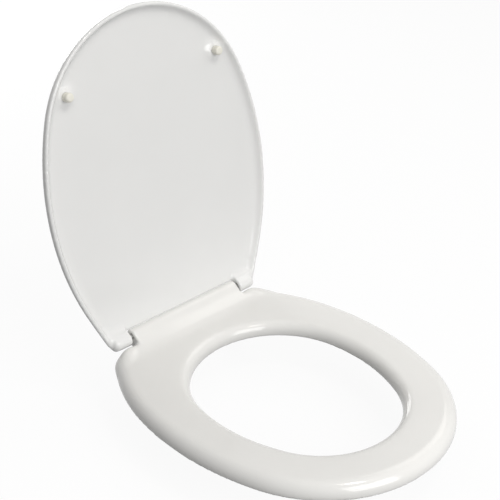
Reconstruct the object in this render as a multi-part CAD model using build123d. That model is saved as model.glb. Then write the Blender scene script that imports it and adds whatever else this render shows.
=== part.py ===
from build123d import *
import math
import os

# Toilet seat: an egg-shaped ring, a dished lid, and the hinge and fixings that carry them.
# Frame: millimetres, +Z up, the front of the seat towards -Y. The origin lies midway between
# the two fixing studs, on the pan's deck. The ring is down and the lid stands open.

# Outline of the seat from above; reaches are measured forwards from the hinge axis
seat_width = 367.0
front_reach = 430.0
widest_reach = 190.0
flank_radius = 372.0

# Hole in the ring, and the bands of ring beside it and in front of it
side_band = 65.4
front_band = 67.0
hole_rear_reach = 73.5
hole_widest_reach = 208.0
hole_flank_radius = 216.0

# Ring moulding, open underneath
ring_height = 20.0
ring_wall = 4.0
ring_outer_round = 17.0
ring_inner_round = 14.0
ring_edge_round = 1.5
ring_rear_reach = 11.0
ring_corner_radius = 20.0
ring_hip_angle = 10.8
ring_hip_radius = 270.0
rib_count = 16
rib_thickness = 2.4
rib_recess = 3.0

# Hinge barrel along the back of the ring
axis_above_ring = 8.0
barrel_end = 15.5
barrel_radius = 10.0
barrel_blend = 55.0
shoulder_inset = 53.5
shoulder_corner = 22.0
shoulder_round = 8.5
barrel_skirt = 16.0
barrel_wall = 2.8
barrel_rib_count = 3

# Lid moulding
lid_angle = 100.0
lid_inset = 4.2
shut_gap = 5.0
lip_width = 6.0
dish_depth = 12.5
lid_wall = 4.0
lid_dome_radius = 6000.0
lid_top_round = 9.0
lid_lip_round = 2.4
dish_round = 8.0
lid_corner_radius = 22.0
lid_hip_angle = 22.6
lid_hip_radius = 3000.0
ear_gap = 4.5
ear_reach_back = 10.5
ear_round = 7.5
ear_end_round = 6.5
ear_length = 28.5
ear_ramp_reach = 6.4
ear_ramp_angle = 36.0
notch_gap = 0.25
notch_angle = 43.0
knuckle_radius = 10.5

# Hinge pins and the posts that carry them
fixing_pitch = 155.0
pin_radius = 4.0
pin_in_ear = 16.5
pin_in_boss = 9.5
pin_chamfer = 0.8
post_width = 14.6
post_depth = 9.0
post_eye_radius = 7.2
post_side_gap = 0.5
ring_lift_angle = 100.0
lift_margin = 3.0
foot_radius = 16.0
foot_thickness = 3.0
foot_round = 1.0

# Studs and the parts that clamp the pan's deck
deck_thickness = 18.0
stud_neck_radius = 5.25
stud_thread_radius = 5.0
stud_length = 48.0
stud_chamfer = 1.2
gasket_thickness = 2.0
gasket_bore_radius = 6.5
cone_top_radius = 8.0
cone_base_radius = 12.0
cone_height = 8.0
washer_radius = 12.0
washer_thickness = 2.0
nut_flange_radius = 11.0
nut_flange_thickness = 2.0
nut_hub_radius = 8.5
nut_height = 12.0
wing_span = 38.0
wing_thickness = 4.0
wing_tip_round = 4.0

# Buffers under the ring: one reach, offset and turn for each pair
buffer_lift = 8.0
buffer_length = 28.0
buffer_width = 12.0
buffer_round = 2.0
buffer_stem_radius = 3.0
buffer_stem_length = 8.0
boss_margin = 1.5
rear_buffer_reach = 100.0
rear_buffer_inset = 60.0
rear_buffer_turn = 20.0
front_buffer_setback = 85.0
front_buffer_inset = 79.0
front_buffer_turn = -42.0

# Buffers on the lid
lid_buffer_setback = 92.0
lid_buffer_inset = 62.0
lid_boss_radius = 12.2
lid_boss_height = 4.6
lid_boss_round = 3.8
lid_buffer_radius = 6.0
lid_buffer_tip_round = 3.0
lid_buffer_stem_radius = 3.0
lid_buffer_stem_length = 5.0
lid_buffer_clearance = 0.4

# Clearances
running_fit = 0.06
loose_fit = 0.1

# Heights and places that follow from the sizes above
ring_bottom = buffer_lift
ring_top = ring_bottom + ring_height
axis_z = ring_top + axis_above_ring
rim_z = ring_top + shut_gap
dish_z = rim_z + dish_depth
hole_width = seat_width - 2 * side_band
hole_front_reach = front_reach - front_band
barrel_half = fixing_pitch / 2 + barrel_end
shoulder_half = seat_width / 2 - shoulder_inset
ear_x = barrel_half + ear_gap
stud_x = fixing_pitch / 2
pocket_half = post_width / 2 + post_side_gap
pin_inner_x = stud_x - pocket_half - pin_in_boss
pin_outer_x = ear_x + pin_in_ear
hole_middle = (hole_front_reach + hole_rear_reach) / 2
rear_buffer_offset = seat_width / 2 - rear_buffer_inset
front_buffer_offset = seat_width / 2 - front_buffer_inset
front_buffer_reach = front_reach - front_buffer_setback
lid_buffer_offset = seat_width / 2 - lid_buffer_inset
lid_buffer_reach = front_reach - lid_buffer_setback
dome_centre = Pos(0, -hole_middle, dish_z + lid_wall - lid_dome_radius)
hinge_axis = Axis((0, 0, axis_z), (1, 0, 0))
sides = ((-1, "left"), (1, "right"))
upwards = (Align.CENTER, Align.CENTER, Align.MIN)
downwards = (Align.CENTER, Align.CENTER, Align.MAX)


def mirrored(point):
    """The same point on the other side of the seat."""
    return Vector(-point.X, point.Y)


def end_radius(half_width, reach, flank):
    """Radius of an egg's end arc that meets its flank arcs smoothly."""
    return (flank**2 - reach**2 - (flank - half_width) ** 2) / (2 * (flank - reach))


def seat_outline(inset, rear_reach, corner, hip_angle, hip_radius):
    """The egg outline, inset evenly, with a straight back edge and rounded back corners."""
    half = seat_width / 2
    nose = end_radius(half, front_reach - widest_reach, flank_radius)
    nose_centre = Vector(0, nose - front_reach)
    flank_centre = Vector(half - flank_radius, -widest_reach)
    apex = Vector(0, inset - front_reach)
    join = flank_centre + (nose_centre - flank_centre).normalized() * (flank_radius - inset)
    widest = Vector(half - inset, -widest_reach)
    outwards = Vector(1, 0).rotate(Axis.Z, hip_angle)
    start = flank_centre + outwards * (flank_radius - inset)
    hip_centre = flank_centre + outwards * (flank_radius - hip_radius)
    hip = hip_radius - inset
    end_angle = math.degrees(math.asin((-rear_reach - hip_centre.Y) / hip))
    bend = hip_centre + Vector(hip, 0).rotate(Axis.Z, (hip_angle + end_angle) / 2)
    back = hip_centre + Vector(hip, 0).rotate(Axis.Z, end_angle)
    edges = [
        ThreePointArc(mirrored(join), apex, join),
        ThreePointArc(join, widest, start),
        ThreePointArc(start, bend, back),
        Line(back, mirrored(back)),
        ThreePointArc(mirrored(back), mirrored(bend), mirrored(start)),
        ThreePointArc(mirrored(start), mirrored(widest), mirrored(join)),
    ]
    face = make_face(edges)
    return fillet(face.vertices().group_by(Axis.Y)[-1], corner)


def hole_outline(grow):
    """The hole's egg, grown evenly: two end arcs and two flank arcs."""
    half = hole_width / 2
    front = end_radius(half, hole_front_reach - hole_widest_reach, hole_flank_radius)
    rear = end_radius(half, hole_widest_reach - hole_rear_reach, hole_flank_radius)
    flank_centre = Vector(half - hole_flank_radius, -hole_widest_reach)
    front_centre = Vector(0, front - hole_front_reach)
    rear_centre = Vector(0, -rear - hole_rear_reach)
    reach = hole_flank_radius + grow
    front_join = flank_centre + (front_centre - flank_centre).normalized() * reach
    rear_join = flank_centre + (rear_centre - flank_centre).normalized() * reach
    widest = Vector(half + grow, -hole_widest_reach)
    edges = [
        ThreePointArc(mirrored(front_join), Vector(0, -hole_front_reach - grow), front_join),
        ThreePointArc(front_join, widest, rear_join),
        ThreePointArc(rear_join, Vector(0, grow - hole_rear_reach), mirrored(rear_join)),
        ThreePointArc(mirrored(rear_join), mirrored(widest), mirrored(front_join)),
    ]
    return make_face(edges)


def ring_outline(inset):
    """The ring's outline, inset evenly."""
    corner = ring_corner_radius - inset
    return seat_outline(inset, ring_rear_reach + inset, corner, ring_hip_angle, ring_hip_radius)


def lid_outline(inset):
    """The lid's outline, inset evenly at the sides and the front."""
    corner = lid_corner_radius - inset
    return seat_outline(lid_inset + inset, -ear_reach_back, corner, lid_hip_angle, lid_hip_radius)


def prism(face, bottom, top):
    """A flat outline raised from one height to another."""
    return Pos(0, 0, bottom) * extrude(face, amount=top - bottom)


def along_axis(radius, x_from, x_to):
    """A cylinder about the hinge axis between two places along it."""
    middle = (x_from + x_to) / 2
    return Pos(middle, 0, axis_z) * Rot(0, 90, 0) * Cylinder(radius, abs(x_to - x_from))


def block(x_from, x_to, y_from, y_to, z_from, z_to):
    """A box between two corners."""
    centre = Pos((x_from + x_to) / 2, (y_from + y_to) / 2, (z_from + z_to) / 2)
    return centre * Box(abs(x_to - x_from), abs(y_to - y_from), abs(z_to - z_from))


def round_rim(solid, end, outer_round, inner_round):
    """Rounds the outer and inner edges of a slab's top face (end -1) or bottom face (end 0)."""
    face = solid.faces().sort_by(Axis.Z)[end]
    solid = solid.fillet(outer_round, face.outer_wire().edges())
    face = solid.faces().sort_by(Axis.Z)[end]
    return solid.fillet(inner_round, face.inner_wires()[0].edges())


def across(profile, length):
    """A profile about the hinge axis, drawn backwards and upwards, run along the axis."""
    placed = Pos(-length / 2, 0, axis_z) * (Plane.YZ * profile)
    return extrude(placed, amount=length, dir=(1, 0, 0))


def sweep_centre():
    """Middle of the hollow sweep from the ring's top up to the barrel, seen along the hinge axis."""
    height = barrel_blend - axis_above_ring
    return Vector(-math.sqrt((barrel_radius + barrel_blend) ** 2 - height**2), height)


def hollow_arc(radius, end):
    """The sweep at a radius, from its foot on the ring to an end point."""
    centre = sweep_centre()
    foot = centre + Vector(0, -radius)
    middle = centre + ((foot - centre) + (end - centre)).normalized() * radius
    return ThreePointArc(foot, middle, end)


def barrel_solid(length, gap):
    """Barrel on the back of the ring, swept up from the ring's top, grown evenly by a gap."""
    radius = barrel_radius + gap
    hollow = barrel_blend - gap
    foot = sweep_centre() + Vector(0, -hollow)
    meet = sweep_centre().normalized() * radius
    edges = [
        hollow_arc(hollow, meet),
        ThreePointArc(meet, Vector(0, radius), Vector(radius, 0)),
        Polyline((radius, 0), (radius, -barrel_skirt), (foot.X, -barrel_skirt), foot),
    ]
    return across(make_face(edges), length)


def shoulder_solid():
    """The same sweep beside the barrel, stopped at the ring's back edge and rounded at its ends."""
    centre = sweep_centre()
    rise = centre.Y - math.sqrt(barrel_blend**2 - (centre.X + ring_rear_reach) ** 2)
    crest = Vector(-ring_rear_reach, rise)
    foot = centre + Vector(0, -barrel_blend)
    edges = [
        hollow_arc(barrel_blend, crest),
        Polyline(crest, (crest.X, -barrel_skirt), (foot.X, -barrel_skirt), foot),
    ]
    shoulder = across(make_face(edges), 2 * shoulder_half)
    upright = shoulder.edges().filter_by(Axis.Z).group_by(Axis.Y)[-1]
    shoulder = shoulder.fillet(shoulder_corner, upright)
    swept = max(shoulder.faces(), key=lambda face: face.center().Z)
    rim = swept.edges().sort_by(Axis.Y)[1:]
    return shoulder.fillet(shoulder_round, rim)


def barrel_cores():
    """Hollows under the barrel between its ribs, open downwards."""
    radius = barrel_radius - barrel_wall
    half = pin_inner_x - barrel_wall
    cell = 2 * half / (barrel_rib_count + 1)
    cores = []
    for index in range(barrel_rib_count + 1):
        start = index * cell - half + rib_thickness / 2
        end = start + cell - rib_thickness
        cores.append(along_axis(radius, start, end))
        cores.append(block(start, end, -radius, radius, 0, axis_z))
    return cores


def post_pocket(side):
    """Room for a hinge post in the barrel, from below round to where the lifted ring puts it."""
    inner = side * (stud_x - pocket_half)
    outer = side * (stud_x + pocket_half)
    half = post_depth / 2 + post_side_gap
    far = axis_z + foot_radius
    over = Rot(ring_lift_angle + lift_margin - 90, 0, 0) * block(inner, outer, 0, far, -half, half)
    return [
        along_axis(post_eye_radius + post_side_gap, inner, outer),
        block(inner, outer, -half, far, 0, axis_z),
        Pos(0, 0, axis_z) * over,
    ]


def buffer_places():
    """Name and place of each buffer under the ring."""
    pairs = (
        ("rear", rear_buffer_offset, rear_buffer_reach, rear_buffer_turn),
        ("front", front_buffer_offset, front_buffer_reach, front_buffer_turn),
    )
    places = []
    for end, offset, reach, turn in pairs:
        for side, word in sides:
            place = Pos(side * offset, -reach, 0) * Rot(0, 0, 90 + side * turn)
            places.append((f"seat_buffer_{end}_{word}", place))
    return places


def seat_ring():
    """Ring moulding: rounded top, open ribbed underside, hinge barrel and buffer bosses."""
    slab = prism(ring_outline(0) - hole_outline(0), ring_bottom, ring_top)
    slab = round_rim(slab, -1, ring_outer_round, ring_inner_round)
    slab = round_rim(slab, 0, ring_edge_round, ring_edge_round)

    # The channel underneath follows the outside at one wall's thickness
    channel = prism(ring_outline(ring_wall) - hole_outline(ring_wall), 0, ring_top - ring_wall)
    channel = round_rim(channel, -1, ring_outer_round - ring_wall, ring_inner_round - ring_wall)

    stiffeners = []
    for index in range(rib_count):
        turn = Pos(0, -hole_middle, 0) * Rot(0, 0, (index + 0.5) * 360 / rib_count)
        half = rib_thickness / 2
        stiffeners.append(turn * block(0, front_reach, -half, half, ring_bottom + rib_recess, ring_top))
    sockets = []
    for _, place in buffer_places():
        outline = SlotOverall(buffer_length + 2 * boss_margin, buffer_width + 2 * boss_margin)
        stiffeners.append(place * prism(outline, ring_bottom, ring_top))
        depth = buffer_stem_length + loose_fit
        socket = Cylinder(buffer_stem_radius + loose_fit, depth, align=upwards)
        sockets.append(place * Pos(0, 0, ring_bottom) * socket)

    ring = (slab + shoulder_solid() + barrel_solid(2 * barrel_half, 0)) - channel
    ring = ring + [channel & stiffener for stiffener in stiffeners]
    ring = ring - sockets - barrel_cores()
    for side, _ in sides:
        bore_start = side * (pin_inner_x - loose_fit)
        bore = along_axis(pin_radius + running_fit, bore_start, side * ear_x)
        ring = ring - post_pocket(side) - bore
    return ring


def dish_height(distance):
    """Height of the shut lid's inner face at a distance from the middle of its dome."""
    radius = lid_dome_radius - lid_wall
    return dish_z - radius + math.sqrt(radius**2 - distance**2)


def lid_pad_z():
    """Height of the lower faces of the lid's buffer bosses, with the lid shut."""
    distance = math.hypot(lid_buffer_offset, lid_buffer_reach - hole_middle)
    return dish_height(distance + lid_boss_radius) - lid_boss_height


def behind_ramp():
    """Section of everything behind the slanted inner faces of the lid's ears."""
    ramp = Rot(0, 0, -ear_ramp_angle) * Pos(-ear_ramp_reach, 0)
    return ramp * Rectangle(seat_width, seat_width, align=(Align.MIN, Align.CENTER))


def lid_ear():
    """Hinge knuckle of the shut lid's right ear: round the axis behind, and flat along the ramp."""
    profile = Circle(knuckle_radius) & behind_ramp()
    profile = fillet(profile.vertices(), ear_round)
    knuckle = Pos(ear_x + ear_length / 2, 0, 0) * across(profile, ear_length)
    end = knuckle.faces().sort_by(Axis.X)[-1]
    return knuckle.fillet(ear_end_round, end.edges())


def lid_shut():
    """Lid moulding as it lies on the ring: domed shell, rounded lip, notch and hinge ears."""
    top = dish_z + 2 * lid_wall
    shell = prism(lid_outline(0), rim_z, top) & (dome_centre * Sphere(lid_dome_radius))
    shell = shell.fillet(lid_top_round, shell.faces().sort_by(Axis.Z)[-1].outer_wire().edges())
    shell = shell.fillet(lid_lip_round, shell.faces().sort_by(Axis.Z)[0].outer_wire().edges())

    # The dish keeps a rounded lip all round, and runs down to a ramp at the ears
    dish_room = dome_centre * Sphere(lid_dome_radius - lid_wall)
    dish = prism(lid_outline(lip_width), 0, top) & dish_room
    dish = dish - across(behind_ramp(), 2 * seat_width)
    dish = dish.fillet(dish_round, dish.faces().sort_by(Axis.Z)[-1].outer_wire().edges())
    lid = shell - dish
    lid = lid.fillet(lid_lip_round, lid.faces().sort_by(Axis.Z)[0].inner_wires()[0].edges())

    # At the back the inner face runs out level, and a notch lets the barrel through
    way = block(-ear_x, ear_x, -3 * dish_round, axis_z, 0, top) & dish_room
    turn = math.radians(notch_angle)
    far = Vector(-math.cos(turn), math.sin(turn)) * seat_width
    behind = Polyline((0, 0), far, (seat_width, far.Y), (seat_width, -axis_z), (0, -axis_z), close=True)
    notch = across(make_face(behind), 2 * ear_x)
    lid = lid - way - notch - barrel_solid(2 * ear_x, notch_gap)

    ear = lid_ear()
    lid = lid + ear + ear.mirror(Plane.YZ)
    for side, _ in sides:
        place = Pos(side * lid_buffer_offset, -lid_buffer_reach, lid_pad_z())
        boss = Cylinder(lid_boss_radius, lid_boss_height + lid_wall / 2, align=upwards)
        lid = lid + place * boss.fillet(lid_boss_round, boss.edges().sort_by(Axis.Z)[:1])
        socket_depth = lid_buffer_stem_length + loose_fit
        socket = Cylinder(lid_buffer_stem_radius + loose_fit, socket_depth, align=upwards)
        bore_end = side * (pin_outer_x + loose_fit)
        lid = lid - place * socket - along_axis(pin_radius + running_fit, 0, bore_end)
    return lid


def lid_buffer_shut(side):
    """Round buffer on the lid's inner face: stem in the lid's boss, and pin down to the ring."""
    height = lid_pad_z() - ring_top - lid_buffer_clearance
    pin = Cylinder(lid_buffer_radius, height, align=downwards)
    pin = pin.fillet(lid_buffer_tip_round, pin.edges().sort_by(Axis.Z)[:1])
    stem = Cylinder(lid_buffer_stem_radius, lid_buffer_stem_length, align=upwards)
    return Pos(side * lid_buffer_offset, -lid_buffer_reach, lid_pad_z()) * (pin + stem)


def seat_buffer(place):
    """Oblong buffer under the ring, on a stem that presses into its boss."""
    pad = prism(SlotOverall(buffer_length, buffer_width), 0, buffer_lift)
    pad = pad.fillet(buffer_round, pad.faces().sort_by(Axis.Z)[0].edges())
    stem = Pos(0, 0, buffer_lift) * Cylinder(buffer_stem_radius, buffer_stem_length, align=upwards)
    return place * (pad + stem)


def hinge_pin(side):
    """Plain pin through the barrel's end, the post's eye and the lid's ear."""
    pin = along_axis(pin_radius, side * pin_inner_x, side * pin_outer_x)
    return pin.chamfer(pin_chamfer, None, pin.edges().filter_by(GeomType.CIRCLE))


def hinge_post():
    """Eye, shank, foot and stud in one moulding, at the middle of its own stud."""
    foot_top = gasket_thickness + foot_thickness
    eye = Pos(0, 0, axis_z) * Rot(0, 90, 0) * Cylinder(post_eye_radius, post_width)
    half_width = post_width / 2
    half_depth = post_depth / 2
    shank = block(-half_width, half_width, -half_depth, half_depth, gasket_thickness, axis_z)
    foot = Pos(0, 0, gasket_thickness) * Cylinder(foot_radius, foot_thickness, align=upwards)
    foot = foot.fillet(foot_round, foot.edges().sort_by(Axis.Z)[-1:])
    neck_length = deck_thickness + foot_top
    neck = Pos(0, 0, foot_top) * Cylinder(stud_neck_radius, neck_length, align=downwards)
    stud = Cylinder(stud_thread_radius, stud_length, align=downwards)
    stud = stud.chamfer(stud_chamfer, None, stud.edges().sort_by(Axis.Z)[:1])
    bore = Pos(0, 0, axis_z) * Rot(0, 90, 0) * Cylinder(pin_radius + running_fit, 2 * post_width)
    return eye + shank + foot + neck + stud - bore


def base_gasket():
    """Soft ring between a post's foot and the deck."""
    ring = Cylinder(foot_radius, gasket_thickness, align=upwards)
    return ring - Cylinder(gasket_bore_radius, 3 * gasket_thickness)


def stud_bore():
    """Clearance hole for the stud's threaded end."""
    return Cylinder(stud_thread_radius + loose_fit, 4 * stud_length)


def cone_washer():
    """Tapered rubber washer, its narrow face up against the deck's underside."""
    cone = Cone(cone_base_radius, cone_top_radius, cone_height, align=downwards)
    return Pos(0, 0, -deck_thickness) * (cone - stud_bore())


def flat_washer():
    """Plain washer under the rubber one."""
    washer = Cylinder(washer_radius, washer_thickness, align=downwards)
    return Pos(0, 0, -deck_thickness - cone_height) * (washer - stud_bore())


def wing_nut():
    """Moulded nut with a flange on top, a hub, and two thumb wings."""
    flange = Cylinder(nut_flange_radius, nut_flange_thickness, align=downwards)
    hub = Cylinder(nut_hub_radius, nut_height, align=downwards)
    wing = Rectangle(wing_span, nut_height - nut_flange_thickness, align=(Align.CENTER, Align.MAX))
    wing = fillet(wing.vertices().group_by(Axis.Y)[0], wing_tip_round)
    wing = Pos(0, wing_thickness / 2, -nut_flange_thickness) * (Plane.XZ * wing)
    wings = extrude(wing, amount=wing_thickness)
    nut = flange + hub + wings - stud_bore()
    return Pos(0, 0, -deck_thickness - cone_height - washer_thickness) * nut


def opened(shut_solid):
    """A piece of the lid, swung from shut to where the lid leans back."""
    return shut_solid.rotate(hinge_axis, -lid_angle)


def all_pieces():
    """Every piece of the seat by name."""
    pieces = {"seat_ring": seat_ring(), "lid": opened(lid_shut())}
    for name, place in buffer_places():
        pieces[name] = seat_buffer(place)
    for side, word in sides:
        at_stud = Pos(side * stud_x, 0, 0)
        pieces[f"lid_buffer_{word}"] = opened(lid_buffer_shut(side))
        pieces[f"hinge_pin_{word}"] = hinge_pin(side)
        pieces[f"hinge_post_{word}"] = at_stud * hinge_post()
        pieces[f"base_gasket_{word}"] = at_stud * base_gasket()
        pieces[f"cone_washer_{word}"] = at_stud * cone_washer()
        pieces[f"flat_washer_{word}"] = at_stud * flat_washer()
        pieces[f"wing_nut_{word}"] = at_stud * wing_nut()
    return pieces


os.makedirs("parts", exist_ok=True)
for piece_name, piece in all_pieces().items():
    export_step(piece, f"parts/{piece_name}.step")
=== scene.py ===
import math

import bpy
from mathutils import Euler, Matrix, Vector


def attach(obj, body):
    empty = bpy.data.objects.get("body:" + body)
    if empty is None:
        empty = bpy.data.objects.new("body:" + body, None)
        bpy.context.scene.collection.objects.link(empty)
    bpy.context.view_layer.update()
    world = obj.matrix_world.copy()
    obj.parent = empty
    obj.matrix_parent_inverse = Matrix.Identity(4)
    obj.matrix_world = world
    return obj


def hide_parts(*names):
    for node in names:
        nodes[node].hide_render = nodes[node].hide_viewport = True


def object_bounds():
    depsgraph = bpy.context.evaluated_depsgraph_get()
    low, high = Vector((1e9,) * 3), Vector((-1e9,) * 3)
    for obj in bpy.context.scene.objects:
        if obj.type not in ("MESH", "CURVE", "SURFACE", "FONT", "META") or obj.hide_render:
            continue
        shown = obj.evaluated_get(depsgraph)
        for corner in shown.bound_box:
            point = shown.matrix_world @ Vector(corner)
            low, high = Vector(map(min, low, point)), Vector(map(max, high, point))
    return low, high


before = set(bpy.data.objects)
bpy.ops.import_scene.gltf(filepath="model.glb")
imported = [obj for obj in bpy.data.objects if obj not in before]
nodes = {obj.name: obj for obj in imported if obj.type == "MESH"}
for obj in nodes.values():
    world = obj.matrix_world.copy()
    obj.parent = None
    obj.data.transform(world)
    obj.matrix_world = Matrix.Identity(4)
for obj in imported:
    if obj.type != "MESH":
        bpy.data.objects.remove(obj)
cad_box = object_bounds()
bpy.ops.object.select_all(action="DESELECT")


# Hinge pins
# Two short ground pins of stainless steel, pressed into the lid's ears, which the ring's barrel
# and the posts' eyes turn on. Only slivers of them show where the pockets are open from below.

sides = ("left", "right")
noise_span = (0.3, 0.7)
tint_span = (0.35, 0.65)
grind_stretch = (60.0, 1.0, 1.0)
steel_shade = (0.56, 0.56, 0.55)
steel_tint = (0.64, 0.64, 0.63)


def new_finish(name):
    """An empty finish: its node tree, its shader and the object's own coordinates."""
    material = bpy.data.materials.new(name)
    material.use_nodes = True
    tree = material.node_tree
    place = tree.nodes.new("ShaderNodeTexCoord")
    return material, tree, tree.nodes["Principled BSDF"], place.outputs["Object"]


def speckle(tree, place, scale, detail):
    """Fine noise through the piece, from 0 to 1."""
    noise = tree.nodes.new("ShaderNodeTexNoise")
    noise.inputs["Scale"].default_value = scale
    noise.inputs["Detail"].default_value = detail
    tree.links.new(place, noise.inputs["Vector"])
    return noise.outputs["Fac"]


def between(tree, amount, low, high):
    """A number that runs from low to high with the noise."""
    spread = tree.nodes.new("ShaderNodeMapRange")
    spread.inputs["From Min"].default_value = noise_span[0]
    spread.inputs["From Max"].default_value = noise_span[1]
    spread.inputs["To Min"].default_value = low
    spread.inputs["To Max"].default_value = high
    tree.links.new(amount, spread.inputs["Value"])
    return spread.outputs["Result"]


def tinted(tree, amount, shade, tint):
    """A colour that runs from shade to tint with the noise."""
    ramp = tree.nodes.new("ShaderNodeValToRGB")
    for stop, position, colour in zip(ramp.color_ramp.elements, tint_span, (shade, tint)):
        stop.position = position
        stop.color = (*colour, 1.0)
    tree.links.new(amount, ramp.inputs["Fac"])
    return ramp.outputs["Color"]


def roughened(tree, shader, height, strength, depth):
    """Raises a surface by noise."""
    bump = tree.nodes.new("ShaderNodeBump")
    bump.inputs["Strength"].default_value = strength
    bump.inputs["Distance"].default_value = depth
    tree.links.new(height, bump.inputs["Height"])
    tree.links.new(bump.outputs["Normal"], shader.inputs["Normal"])


def coat(piece, material):
    """Gives a piece one finish in place of any other."""
    piece.data.materials.clear()
    piece.data.materials.append(material)


def finish_with(material, *names):
    """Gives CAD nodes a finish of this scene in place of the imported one."""
    for name in names:
        coat(nodes[name], material)


def pair(kind):
    """The names of a piece's left and right copies."""
    return [f"{kind}_{side}" for side in sides]


ground_steel, tree, shader, place = new_finish("ground_steel")
rings = tree.nodes.new("ShaderNodeMapping")
rings.inputs["Scale"].default_value = grind_stretch
tree.links.new(place, rings.inputs["Vector"])
grind = speckle(tree, rings.outputs["Vector"], 40.0, 4.0)
stain = speckle(tree, place, 120.0, 3.0)
tree.links.new(tinted(tree, stain, steel_shade, steel_tint), shader.inputs["Base Color"])
tree.links.new(between(tree, grind, 0.22, 0.36), shader.inputs["Roughness"])
roughened(tree, shader, grind, strength=0.2, depth=0.00005)
shader.inputs["Metallic"].default_value = 1.0
finish_with(ground_steel, *pair("hinge_pin"))


# Hinge posts
# Each post is one moulding of white nylon: an eye for the pin, a flat shank, a round foot and a
# stud. The foot stands on the pan's deck, and the stud's coarse thread takes the nut below it.

stud_x = 0.0775
neck_end = -0.018
neck_lap = 0.0003
stud_end = -0.048
thread_pitch = 0.002
thread_crest = 0.00495
thread_root = 0.0042
crest_flat = 0.0004
root_flat = 0.0004
thread_turns = 17
turn_steps = 40
thread_weld = 0.00001
point_length = 0.0012
rod_radius = 0.0052
rod_length = 0.04
seam_weld = 0.000005
post_crease = math.radians(32.0)


def moulded_plastic(name, shade, tint, roughness, ripple):
    """Moulded plastic: cloudy tint, uneven polish and the faint ripple of a moulded face."""
    material, tree, shader, place = new_finish(name)
    cloud = speckle(tree, place, 9.0, 3.0)
    tree.links.new(tinted(tree, cloud, shade, tint), shader.inputs["Base Color"])
    polish = between(tree, speckle(tree, place, 55.0, 4.0), roughness * 0.8, roughness * 1.2)
    tree.links.new(polish, shader.inputs["Roughness"])
    roughened(tree, shader, speckle(tree, place, 240.0, 2.0), ripple, depth=0.0002)
    shader.inputs["IOR"].default_value = 1.5
    return material


def pick(piece):
    """Selects one piece alone and makes it the active one."""
    bpy.ops.object.select_all(action="DESELECT")
    piece.select_set(True)
    bpy.context.view_layer.objects.active = piece


def edit(piece):
    """Opens a piece's mesh with everything selected."""
    pick(piece)
    bpy.ops.object.mode_set(mode="EDIT")
    bpy.ops.mesh.select_all(action="SELECT")


def cut_level(height, keep_above):
    """Cuts the open mesh level at a height and closes the cut."""
    bpy.ops.mesh.select_all(action="SELECT")
    bpy.ops.mesh.bisect(plane_co=(0.0, 0.0, height), plane_no=(0.0, 0.0, 1.0), use_fill=True,
                        clear_inner=keep_above, clear_outer=not keep_above)


def apply_all(piece):
    """Applies a piece's modifiers."""
    bpy.context.view_layer.objects.active = piece
    for modifier in list(piece.modifiers):
        bpy.ops.object.modifier_apply(modifier=modifier.name)


def merged_copy(name, node):
    """A copy of a CAD node with its seams merged, open for editing."""
    piece = bpy.data.objects.new(name, nodes[node].data.copy())
    bpy.context.collection.objects.link(piece)
    edit(piece)
    bpy.ops.mesh.customdata_custom_splitnormals_clear()
    bpy.ops.mesh.remove_doubles(threshold=seam_weld)
    return piece


nylon = moulded_plastic("nylon_white", (0.70, 0.70, 0.67), (0.76, 0.76, 0.73), 0.38, 0.15)

# One tooth is drawn beside the stud's axis and screwed up it
bpy.ops.mesh.primitive_plane_add(size=0.001, location=(0.0, 0.0, 0.0))
thread = bpy.context.active_object
edit(thread)
bpy.ops.mesh.merge(type="CENTER")
bpy.ops.transform.translate(value=(thread_root, 0.0, stud_end - 2 * thread_pitch))
flank_rise = (thread_pitch - crest_flat - root_flat) / 2
thread_depth = thread_crest - thread_root
tooth = ((thread_depth, flank_rise), (0.0, crest_flat),
         (-thread_depth, flank_rise), (0.0, root_flat))
for out, up in tooth:
    bpy.ops.mesh.extrude_vertices_move(TRANSFORM_OT_translate={"value": (out, 0.0, up)})
bpy.ops.object.mode_set(mode="OBJECT")
screw = thread.modifiers.new("screw", "SCREW")
screw.axis = "Z"
screw.steps = turn_steps
screw.render_steps = turn_steps
screw.screw_offset = thread_pitch
screw.iterations = thread_turns
screw.use_merge_vertices = True
screw.merge_threshold = thread_weld
apply_all(thread)
edit(thread)
bpy.ops.mesh.remove_doubles(threshold=thread_weld)
cut_level(neck_end, keep_above=False)
cut_level(stud_end, keep_above=True)
bpy.ops.mesh.select_all(action="SELECT")
bpy.ops.mesh.normals_make_consistent(inside=False)
bpy.ops.object.mode_set(mode="OBJECT")

# A blunt pointed rod takes off the thread's last turn as a chamfer
bpy.ops.mesh.primitive_cylinder_add(vertices=64, radius=rod_radius, depth=rod_length,
                                    location=(0.0, 0.0, stud_end + rod_length / 2))
rod = bpy.context.active_object
bpy.ops.object.transform_apply(location=True)
edit(rod)
bpy.ops.mesh.select_all(action="DESELECT")
bpy.ops.object.mode_set(mode="OBJECT")
for face in rod.data.polygons:
    face.select = face.normal.z < -0.9
bpy.ops.object.mode_set(mode="EDIT")
bpy.ops.mesh.bevel(offset=point_length, segments=1, affect="EDGES")
bpy.ops.object.mode_set(mode="OBJECT")
trim = thread.modifiers.new("point", "BOOLEAN")
trim.operation = "INTERSECT"
trim.object = rod
apply_all(thread)
bpy.data.objects.remove(rod)

# The moulding above comes from the CAD post, cut off just below its neck
post = merged_copy("threaded_post_left", "hinge_post_left")
cut_level(neck_end - neck_lap, keep_above=True)
bpy.ops.object.mode_set(mode="OBJECT")
thread.location.x = -stud_x
pick(thread)
bpy.ops.object.transform_apply(location=True)
post.select_set(True)
bpy.context.view_layer.objects.active = post
bpy.ops.object.join()
coat(post, nylon)
bpy.ops.object.shade_smooth_by_angle(angle=post_crease)

twin = bpy.data.objects.new("threaded_post_right", post.data.copy())
bpy.context.collection.objects.link(twin)
pick(twin)
twin.location.x = 2 * stud_x
bpy.ops.object.transform_apply(location=True)
for piece, side in zip((post, twin), sides):
    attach(piece, "fixings")
    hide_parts(f"hinge_post_{side}")


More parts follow.
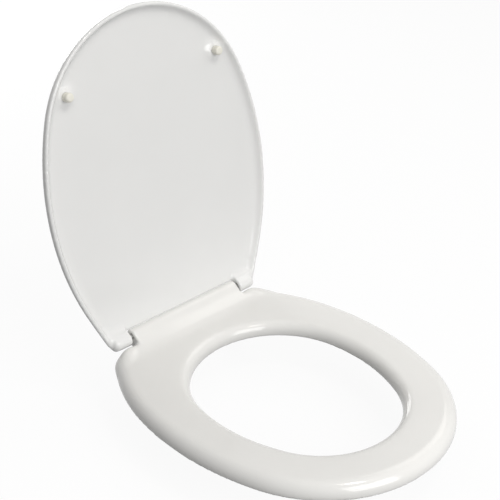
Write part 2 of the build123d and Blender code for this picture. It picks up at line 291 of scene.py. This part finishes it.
# Seat ring
# The egg-shaped ring is one hollow moulding of white urea plastic, ribbed and open underneath, with
# the hinge barrel along its back. It comes out of its polished mould glossy and is not painted.

ring_white = moulded_plastic("ring_white", (0.815, 0.808, 0.785), (0.83, 0.823, 0.80), 0.12, 0.04)
ring_skin = 0.0018
ring_top = 0.028
top_margin = 0.0005
hinge_height = 0.036
barrel_half = 0.094
barrel_skin = 0.0125
hole_half = 0.1181
hole_front = 0.363
hole_rear = 0.0735
hole_widest = 0.208
hole_flank = 0.216
hole_margin = 0.0003
inner_roll = 0.014
tight_roll = 0.013
roll_margin = 0.0015
roll_facing = 0.05
crown_reach = 0.030
crown_drop = 0.0012
shoulder_place = Vector((0.131, -0.009, 0.022))
shoulder_swell = 0.0038
shoulder_full = 0.012
shoulder_none = 0.034
shoulder_low = 0.010
shoulder_facing = -0.5
even_rounds = 6
shoulder_rounds = 80


def remoulded(name, node, voxel):
    """A copy of a CAD node with an even skin, which can be eased and reshaped like clay."""
    piece = merged_copy(name, node)
    bpy.ops.object.mode_set(mode="OBJECT")
    skin = piece.modifiers.new("skin", "REMESH")
    skin.mode = "VOXEL"
    skin.voxel_size = voxel
    apply_all(piece)
    return piece


def eased(piece, group, rounds):
    """Smooths the part of a piece that a vertex group marks."""
    ease = piece.modifiers.new(group.name, "SMOOTH")
    ease.vertex_group = group.name
    ease.factor = 0.5
    ease.iterations = rounds
    apply_all(piece)


def fade(value, full, none):
    """1 where the value is at full or past it, 0 at none, and between them in between."""
    return min(max((value - none) / (full - none), 0.0), 1.0)


def egg_end(reach):
    """Radius of the hole's end arc, which meets the flank arcs smoothly."""
    return (hole_flank**2 - reach**2 - (hole_flank - hole_half) ** 2) / (2 * (hole_flank - reach))


front_end = egg_end(hole_front - hole_widest)
rear_end = egg_end(hole_widest - hole_rear)
flank_middle = Vector((hole_half - hole_flank, -hole_widest))
front_middle = Vector((0.0, front_end - hole_front))
rear_middle = Vector((0.0, -rear_end - hole_rear))


def from_hole(point):
    """Distance from the edge of the hole, seen from above."""
    at = Vector((abs(point.x), point.y))
    spoke = at - flank_middle
    if (front_middle - flank_middle).cross(spoke) < 0.0:
        return (at - front_middle).length - front_end
    if spoke.cross(rear_middle - flank_middle) < 0.0:
        return (at - rear_middle).length - rear_end
    return spoke.length - hole_flank


def roll_drop(radius, gap):
    """How far a rolled edge has dropped below the top, at a distance from the hole."""
    return radius - math.sqrt(max(radius**2 - max(radius - gap, 0.0) ** 2, 0.0))


ring = remoulded("ring_moulding", "seat_ring", ring_skin)
shoulder = ring.vertex_groups.new(name="shoulder")
even = ring.vertex_groups.new(name="even")
normals = [vertex.normal.copy() for vertex in ring.data.vertices]
for vertex, facing in zip(ring.data.vertices, normals):
    at = vertex.co
    off_axis = math.hypot(at.y, at.z - hinge_height)
    on_barrel = off_axis < barrel_skin and abs(at.x) < barrel_half
    even.add([vertex.index], 0.0 if on_barrel else 1.0, "REPLACE")

    # The inner roll is drawn tighter, under a slight crown
    gap = from_hole(at)
    near_hole = hole_margin < gap < crown_reach and at.z < ring_top + top_margin
    if near_hole and facing.z > roll_facing:
        if abs(ring_top - roll_drop(inner_roll, gap) - at.z) < roll_margin:
            drop = roll_drop(tight_roll, gap)
            drop += crown_drop * ((crown_reach - gap) / crown_reach) ** 2
            at.z = ring_top - drop

    # The crease where the hinge shoulder meets the corner is swelled, then eased away
    away = (Vector((abs(at.x), at.y, at.z)) - shoulder_place).length
    share = fade(away, shoulder_full, shoulder_none)
    if share > 0.0 and at.z > shoulder_low and facing.z > shoulder_facing:
        shoulder.add([vertex.index], share, "REPLACE")
        vertex.co = at + facing * shoulder_swell * share
eased(ring, even, even_rounds)
eased(ring, shoulder, shoulder_rounds)
coat(ring, ring_white)
bpy.ops.object.shade_smooth()
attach(ring, "seat")
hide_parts("seat_ring")


# Seat buffers
# Four oblong buffers of soft cream plastic are pressed by their stems into bosses under the ring,
# and carry it on the pan's rim.

soft_cream = moulded_plastic("soft_cream", (0.83, 0.81, 0.72), (0.87, 0.85, 0.765), 0.4, 0.1)
finish_with(soft_cream, *pair("seat_buffer_rear"), *pair("seat_buffer_front"))


# Lid
# The lid is one dished shell of the same glossy plastic, with a rolled lip all round, two hinge
# ears and a boss for each buffer. It swings on the hinge pins and leans back when open.

lid_white = moulded_plastic("lid_white", (0.82, 0.82, 0.81), (0.835, 0.835, 0.825), 0.13, 0.04)
lid_skin = 0.0019
open_angle = math.radians(100.0)
shell_middle = Vector((0.0, -0.215))
dish_height = 0.0455
dish_margin = 0.002
slope_foot = 0.0075
slope_top = 0.0115
slope_back = -0.03
slope_facing = 0.35
slope_rounds = 60
notch_half = 0.1025
notch_skin = 0.017
notch_edge = 0.0125
slit_radius = 0.01034
slit_draw = 0.35

shell = remoulded("lid_shell", "lid", lid_skin)
slope = shell.vertex_groups.new(name="slope")
even = shell.vertex_groups.new(name="even")
shutting = Matrix.Rotation(open_angle, 3, "X")
pivot = Vector((0.0, 0.0, hinge_height))
for vertex in shell.data.vertices:
    at = shutting @ (vertex.co - pivot) + pivot
    facing = shutting @ vertex.normal
    off_axis = math.hypot(at.y, at.z - hinge_height)
    in_notch = off_axis < notch_skin and abs(at.x) < notch_half
    even.add([vertex.index], 0.0 if in_notch else 1.0, "REPLACE")

    # The wall from the dish up to the lip becomes a soft slope
    depth = dish_height - at.z
    outward = facing.xy.dot((at.xy - shell_middle).normalized())
    inner_face = facing.z < slope_facing and outward < slope_facing
    if inner_face and depth > -dish_margin and at.y < slope_back:
        slope.add([vertex.index], fade(depth, slope_foot, slope_top), "REPLACE")
eased(shell, even, even_rounds)
eased(shell, slope, slope_rounds)

# The notch's edge is drawn in close round the ring's barrel, so that only a narrow slit is left
for vertex in shell.data.vertices:
    spoke = vertex.co - pivot
    off_axis = math.hypot(spoke.y, spoke.z)
    if off_axis < notch_edge and abs(spoke.x) < barrel_half:
        drawn = slit_radius + max(off_axis - slit_radius, 0.0) * slit_draw
        spoke.y *= drawn / off_axis
        spoke.z *= drawn / off_axis
        vertex.co = pivot + spoke
coat(shell, lid_white)
bpy.ops.object.shade_smooth()
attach(shell, "lid_body")
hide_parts("lid")


# Lid buffers
# Two small round buffers of the same soft cream plastic, pressed into the lid's bosses, meet the
# ring's top when the lid is shut.

finish_with(soft_cream, *pair("lid_buffer"))


# Base gaskets and cone washers
# Black rubber: a flat gasket between each post's foot and the deck, and a tapered washer that
# centres the stud in the deck's hole from below. Both are cut or moulded, with a dull dusty skin.

rubber_black = (0.018, 0.018, 0.018)
rubber_dusty = (0.05, 0.049, 0.047)
black_rubber, tree, shader, place = new_finish("black_rubber")
dust = speckle(tree, place, 160.0, 5.0)
tree.links.new(tinted(tree, dust, rubber_black, rubber_dusty), shader.inputs["Base Color"])
tree.links.new(between(tree, dust, 0.55, 0.75), shader.inputs["Roughness"])
roughened(tree, shader, speckle(tree, place, 900.0, 4.0), strength=0.3, depth=0.0001)
finish_with(black_rubber, *pair("base_gasket"), *pair("cone_washer"))


# Flat washers and wing nuts
# Moulded nylon like the posts: a plain washer under the rubber one, and a nut with a flange and
# two thumb wings that draws the stud down on the deck.

finish_with(nylon, *pair("flat_washer"), *pair("wing_nut"))


# Studio
# A white paper floor under a warm soft lamp overhead, a weak one on the right and broad ones in
# front of and behind the open lid. No lamp stands on the left, where the ring's side is in shade.

scene = bpy.context.scene
scene.view_settings.view_transform = "Standard"
white = (1.0, 1.0, 1.0)
floor_size = 14.0
floor_height = cad_box[0][2] - 0.002
paper_lighting = 0.08
paper_shown = 0.95
glow_share = 0.92
room_level = 0.4
lamp_target = Vector((0.0, -0.15, 0.15))
camera_place = (-0.8560, -1.0486, 0.8895)
camera_tilt = math.radians(90.0 - 29.28)
camera_turn = math.radians(-43.19)
camera_roll = math.radians(-0.34)
picture_width = 500


def looked_at(tree):
    """1 for rays from the camera, a reflection or clear plastic, 0 for those that only light."""
    path = tree.nodes.new("ShaderNodeLightPath")
    shown = path.outputs["Is Camera Ray"]
    for ray in ("Is Glossy Ray", "Is Transmission Ray"):
        either = tree.nodes.new("ShaderNodeMath")
        either.operation = "MAXIMUM"
        tree.links.new(shown, either.inputs[0])
        tree.links.new(path.outputs[ray], either.inputs[1])
        shown = either.outputs["Value"]
    return shown


bpy.ops.object.select_all(action="DESELECT")
bpy.ops.mesh.primitive_plane_add(size=floor_size, location=(0.0, 0.0, floor_height))
floor = bpy.context.active_object
floor.name = "floor"
paper_white = bpy.data.materials.new("paper_white")
paper_white.use_nodes = True
tree = paper_white.node_tree
tree.nodes.clear()
output = tree.nodes.new("ShaderNodeOutputMaterial")
paper = tree.nodes.new("ShaderNodeBsdfDiffuse")
level = tree.nodes.new("ShaderNodeMapRange")
level.inputs["To Min"].default_value = paper_lighting
level.inputs["To Max"].default_value = paper_shown
direct = looked_at(tree)
tree.links.new(direct, level.inputs["Value"])
tree.links.new(level.outputs["Result"], paper.inputs["Color"])
glow = tree.nodes.new("ShaderNodeEmission")
glow.inputs["Color"].default_value = (*white, 1.0)
glow.inputs["Strength"].default_value = 1.0
glowing = tree.nodes.new("ShaderNodeMath")
glowing.operation = "MULTIPLY"
glowing.inputs[1].default_value = glow_share
tree.links.new(direct, glowing.inputs[0])
blend = tree.nodes.new("ShaderNodeMixShader")
tree.links.new(glowing.outputs["Value"], blend.inputs["Fac"])
tree.links.new(paper.outputs["BSDF"], blend.inputs[1])
tree.links.new(glow.outputs["Emission"], blend.inputs[2])
tree.links.new(blend.outputs["Shader"], output.inputs["Surface"])
floor.data.materials.append(paper_white)

world = bpy.data.worlds.new("studio")
scene.world = world
world.use_nodes = True
tree = world.node_tree
background = tree.nodes["Background"]
background.inputs["Color"].default_value = (*white, 1.0)
level = tree.nodes.new("ShaderNodeMapRange")
level.inputs["To Min"].default_value = room_level
level.inputs["To Max"].default_value = 1.0
tree.links.new(looked_at(tree), level.inputs["Value"])
tree.links.new(level.outputs["Result"], background.inputs["Strength"])


def soft_lamp(name, place, size, power, colour):
    """A square soft box that faces the seat."""
    bpy.ops.object.light_add(type="AREA", location=place)
    lamp = bpy.context.active_object
    lamp.name = name
    lamp.data.shape = "SQUARE"
    lamp.data.size = size
    lamp.data.energy = power
    lamp.data.color = colour
    aim = lamp_target - Vector(place)
    lamp.rotation_euler = aim.to_track_quat("-Z", "Y").to_euler()


soft_lamp("overhead", (0.1, -0.95, 1.9), 0.35, 5.0, (1.0, 0.96, 0.9))
soft_lamp("right", (1.2, -0.1, 1.3), 0.8, 3.2, (1.0, 0.97, 0.93))
soft_lamp("front", (-0.1, -1.9, 1.0), 1.2, 23.0, white)
soft_lamp("rear", (0.5, 1.9, 0.8), 1.2, 16.0, white)

facing = Euler((camera_tilt, 0.0, camera_turn)).to_matrix()
facing = facing @ Matrix.Rotation(camera_roll, 3, "Z")
bpy.ops.object.camera_add(location=camera_place, rotation=facing.to_euler())
camera = bpy.context.active_object
camera.data.sensor_width = 36.0
camera.data.lens = 82.86
camera.data.shift_x = -1.2 / picture_width
scene.camera = camera
